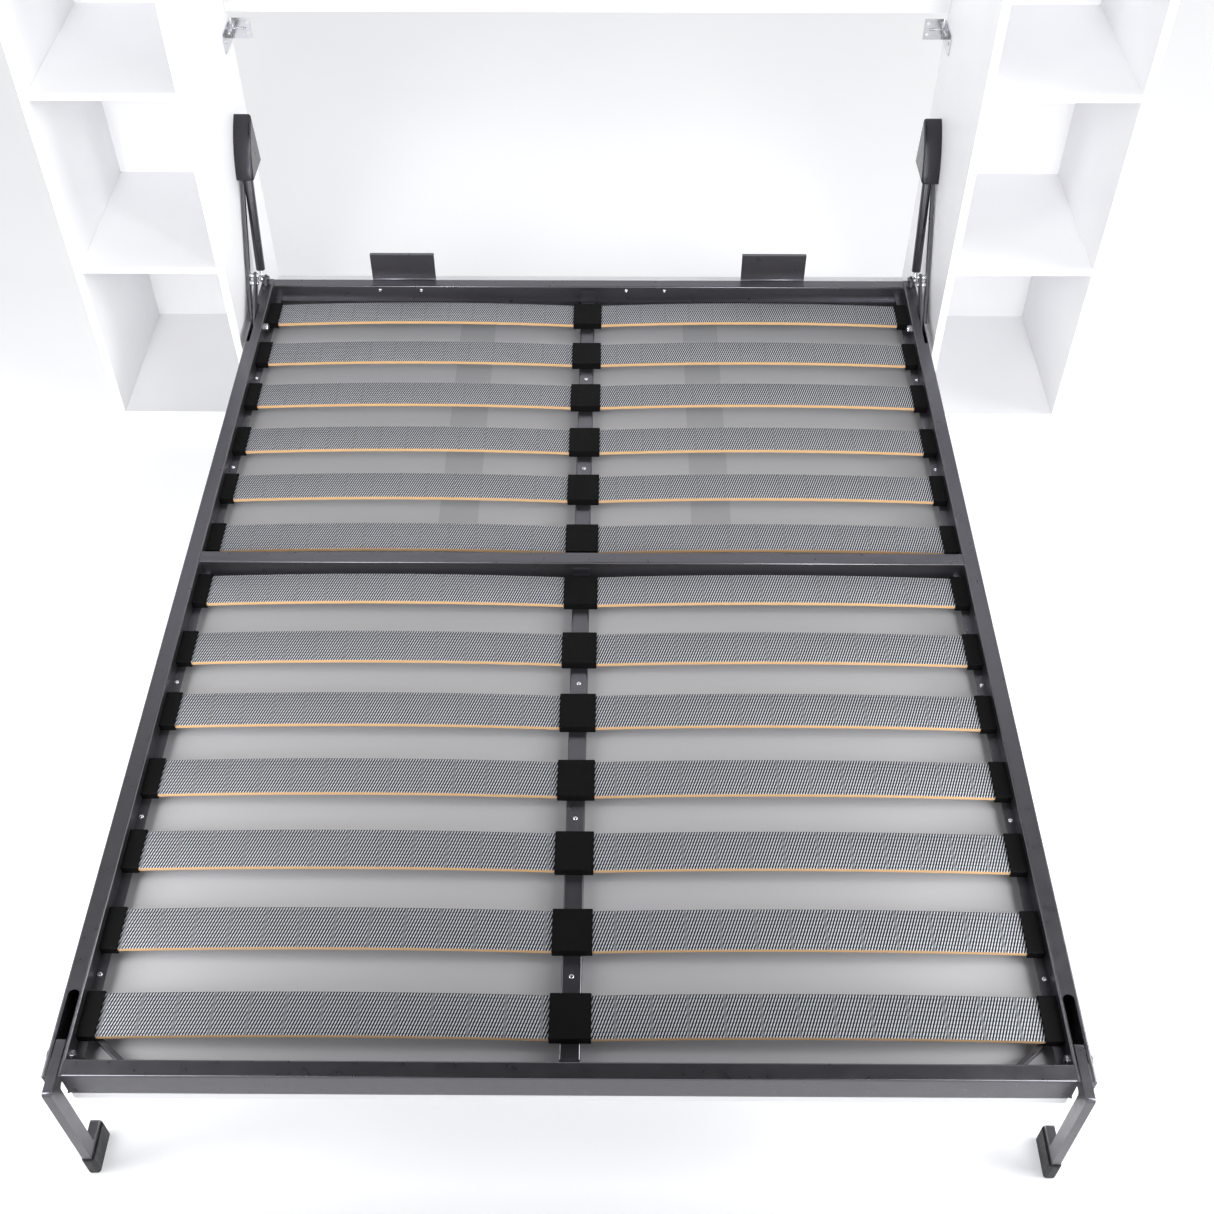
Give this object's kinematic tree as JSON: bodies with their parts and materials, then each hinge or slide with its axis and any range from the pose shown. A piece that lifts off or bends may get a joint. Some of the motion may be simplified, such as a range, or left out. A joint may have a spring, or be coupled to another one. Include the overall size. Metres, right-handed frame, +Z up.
{
  "type": "murphy wall bed",
  "caption": "Wall bed: a steel slatted frame with folding legs turns up on gas springs into a bay between two white shelf towers.",
  "frame": {"origin": "on the floor, at the centre of the footprint of the open bed with its cabinet", "axes": "+X to the right seen from the foot of the bed, +Y towards the wall, +Z up"},
  "size_m": [2.37, 2.3594, 2.23],
  "materials": {
    "laminate": "white melamine-faced board, satin",
    "frame_paint": "dark grey powder coat, satin",
    "cover_plastic": "dark grey metallic finish",
    "slat_ply": "bent plywood with a grey woven film",
    "holder_plastic": "black moulded plastic, matt",
    "zinc": "zinc-plated steel",
    "rod_steel": "polished piston rod",
    "cylinder_paint": "black gloss paint",
    "rubber": "black rubber"
  },
  "bodies": {
    "cabinet": {"bay_top_board": "laminate", "cover_left": "cover_plastic", "cover_right": "cover_plastic", "hanger_plate_left": "frame_paint", "hanger_plate_right": "frame_paint", "inner_side_left": "laminate", "inner_side_right": "laminate", "lower_back_rail": "laminate", "mount_plate_left": "frame_paint", "mount_plate_right": "frame_paint", "outer_side_left": "laminate", "outer_side_right": "laminate", "plinth_left": "laminate", "plinth_right": "laminate", "stay_bar_left": "frame_paint", "stay_bar_right": "frame_paint", "stay_fasteners": "zinc", "top_back_rail": "laminate", "tower_back_left": "laminate", "tower_back_right": "laminate", "tower_shelves_left": "laminate", "tower_shelves_right": "laminate", "upper_back_board": "laminate", "wall_bracket_left": "zinc", "wall_bracket_right": "zinc", "wall_bracket_screws": "zinc"},
    "bed": {"centre_beam_front": "frame_paint", "centre_beam_rear": "frame_paint", "centre_brackets": "frame_paint", "centre_slat_holders": "holder_plastic", "corner_braces": "frame_paint", "cross_beam": "frame_paint", "face_panel_left": "laminate", "face_panel_right": "laminate", "frame_screws": "zinc", "front_beam": "frame_paint", "leg_stop_pins": "frame_paint", "mattress_stop_left": "frame_paint", "mattress_stop_right": "frame_paint", "pivot_bolts": "frame_paint", "pivot_nuts": "zinc", "rear_beam": "frame_paint", "side_rail_left": "frame_paint", "side_rail_right": "frame_paint", "side_slat_holders_left": "holder_plastic", "side_slat_holders_right": "holder_plastic", "slats_front_left": "slat_ply", "slats_front_right": "slat_ply", "slats_rear_left": "slat_ply", "slats_rear_right": "slat_ply", "strut_lugs": "frame_paint"},
    "left_leg": {"leg_left": "frame_paint", "leg_shoe_left": "rubber"},
    "left_strut_rod": {"gas_rod_left": "rod_steel"},
    "left_strut_tube": {"gas_cylinder_left": "cylinder_paint"},
    "right_leg": {"leg_right": "frame_paint", "leg_shoe_right": "rubber"},
    "right_strut_rod": {"gas_rod_right": "rod_steel"},
    "right_strut_tube": {"gas_cylinder_right": "cylinder_paint"}
  },
  "joints": [
    {"name": "bed_fold", "type": "hinge", "parent": "cabinet", "child": "bed", "pos_m": [0, 0.78275, 0.272], "axis": [-1, 0, 0], "range_deg": [0, 90]},
    {"name": "leg_fold_left", "type": "hinge", "parent": "bed", "child": "left_leg", "pos_m": [-0.7995, -1.10225, 0.278], "axis": [1, 0, 0], "range_deg": [0, 76]},
    {"name": "strut_swing_left", "type": "hinge", "parent": "bed", "child": "left_strut_rod", "pos_m": [-0.8125, 0.93475, 0.308], "axis": [1, 0, 0], "range_deg": [0, 82.54]},
    {"name": "strut_stroke_left", "type": "slide", "parent": "left_strut_rod", "child": "left_strut_tube", "axis": [0, 0.235, 0.972], "range_m": [0, 0.2146]},
    {"name": "leg_fold_right", "type": "hinge", "parent": "bed", "child": "right_leg", "pos_m": [0.7995, -1.10225, 0.278], "axis": [1, 0, 0], "range_deg": [0, 76]},
    {"name": "strut_swing_right", "type": "hinge", "parent": "bed", "child": "right_strut_rod", "pos_m": [0.8125, 0.93475, 0.308], "axis": [1, 0, 0], "range_deg": [0, 82.54]},
    {"name": "strut_stroke_right", "type": "slide", "parent": "right_strut_rod", "child": "right_strut_tube", "axis": [0, 0.235, 0.972], "range_m": [0, 0.2146]}
  ],
  "couplings": [
    {"joint": "strut_swing_left", "follows": "bed_fold", "ratio": 0.91697},
    {"joint": "strut_stroke_left", "follows": "bed_fold", "m_per_rad": 0.13654},
    {"joint": "strut_swing_right", "follows": "bed_fold", "ratio": 0.91697},
    {"joint": "strut_stroke_right", "follows": "bed_fold", "m_per_rad": 0.13654}
  ]
}
